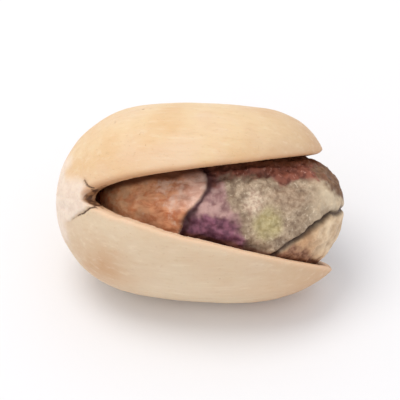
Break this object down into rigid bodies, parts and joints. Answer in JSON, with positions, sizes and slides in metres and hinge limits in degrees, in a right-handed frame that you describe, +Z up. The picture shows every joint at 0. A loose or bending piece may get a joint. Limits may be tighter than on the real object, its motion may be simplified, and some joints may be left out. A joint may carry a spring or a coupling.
{
  "type": "pistachio in shell",
  "caption": "Roasted pistachio lying on its side, its pale woody shell split open from the tip with the wrinkled kernel filling the mouth.",
  "frame": {"origin": "under the middle of the nut's box, on the surface that it rests on", "axes": "+Z up; +X runs from the stem end to the tip; the open mouth faces -Y and 42 degrees upwards"},
  "size_m": [0.021, 0.014, 0.0137],
  "materials": {
    "shell": "smooth dry woody shell, pale cream, soft sheen",
    "kernel": "thin wrinkled seed skin, mottled brown, purple and grey-green, matt"
  },
  "bodies": {
    "root": {"shell": "shell", "kernel": "kernel"}
  },
  "joints": []
}
